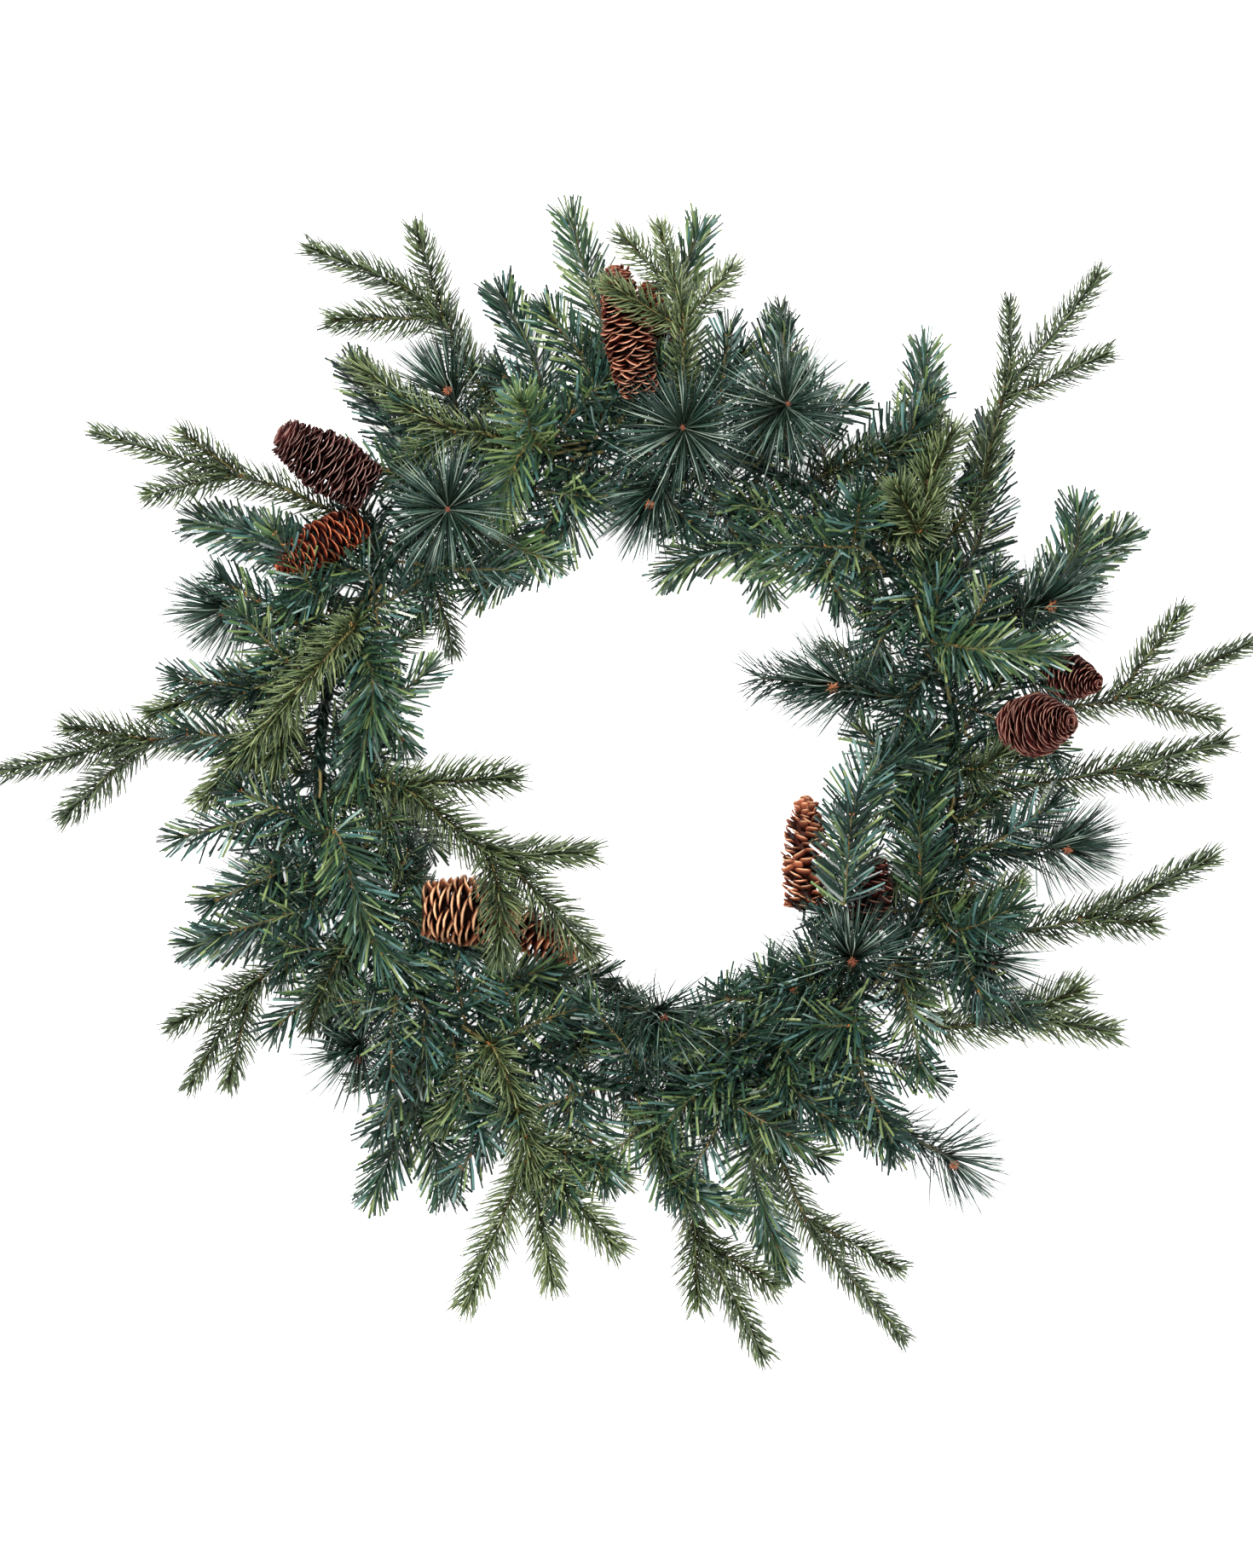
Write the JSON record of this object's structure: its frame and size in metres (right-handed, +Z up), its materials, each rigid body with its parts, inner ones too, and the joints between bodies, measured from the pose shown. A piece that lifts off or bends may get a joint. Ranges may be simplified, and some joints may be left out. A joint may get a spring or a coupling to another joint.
{
  "type": "artificial evergreen garland",
  "caption": "Artificial mixed evergreen garland with pine cones, its wrapped wire core closed into a ring so that it lies or hangs as a wreath.",
  "frame": {"origin": "centre of the bounding box's base, on the surface that the garland lies on", "axes": "+Z up through the ring, towards the side that faces the room; +X along the widest extent, to the right seen from the front; +Y towards the top of the hung wreath"},
  "size_m": [1.106, 1.0232, 0.2017],
  "materials": {
    "core_foil": "dark green cut foil wound on twisted wire",
    "tie_wire": "dark green coated soft wire",
    "spruce": "olive green moulded needles",
    "foil_pine": "two tone green cut foil strips",
    "long_pine": "blue green long thin needles",
    "cone": "dry brown cone scales"
  },
  "bodies": {
    "root": {"cone_inner_large": "cone", "cone_inner_small": "cone", "cone_left_large": "cone", "cone_left_slim": "cone", "cone_lower_right_dark": "cone", "cone_lower_right_open": "cone", "cone_right_dark": "cone", "cone_right_large": "cone", "cone_top_back": "cone", "cone_top_long": "cone", "core_wire": "core_foil", "end_tie": "tie_wire", "foil_pine_bottom": "foil_pine", "foil_pine_bottom_left": "foil_pine", "foil_pine_bottom_right": "foil_pine", "foil_pine_bright_front": "foil_pine", "foil_pine_inner_left": "foil_pine", "foil_pine_inner_right": "foil_pine", "foil_pine_inner_top": "foil_pine", "foil_pine_inner_top_left": "foil_pine", "foil_pine_left_high": "foil_pine", "foil_pine_lower_left": "foil_pine", "foil_pine_olive": "foil_pine", "foil_pine_over_cone": "foil_pine", "foil_pine_right_bright": "foil_pine", "foil_pine_right_dark": "foil_pine", "foil_pine_right_fan": "foil_pine", "foil_pine_right_high": "foil_pine", "foil_pine_top": "foil_pine", "foil_pine_top_left_dark": "foil_pine", "foil_pine_top_middle": "foil_pine", "foil_pine_top_right": "foil_pine", "long_pine_bottom": "long_pine", "long_pine_bottom_right": "long_pine", "long_pine_inner_right": "long_pine", "long_pine_left": "long_pine", "long_pine_low_right": "long_pine", "long_pine_lower_left": "long_pine", "long_pine_right_lower": "long_pine", "long_pine_right_upper": "long_pine", "long_pine_top_front": "long_pine", "long_pine_upper_left": "long_pine", "spruce_bottom": "spruce", "spruce_bottom_left": "spruce", "spruce_bottom_right": "spruce", "spruce_inner_left": "spruce", "spruce_left_front": "spruce", "spruce_left_lower": "spruce", "spruce_left_middle": "spruce", "spruce_left_upper": "spruce", "spruce_right_front": "spruce", "spruce_right_low": "spruce", "spruce_right_lower": "spruce", "spruce_right_middle": "spruce", "spruce_right_upper": "spruce", "spruce_top": "spruce", "spruce_top_left": "spruce", "spruce_top_right": "spruce", "spruce_top_right_small": "spruce", "spruce_upper_left": "spruce"}
  },
  "joints": []
}
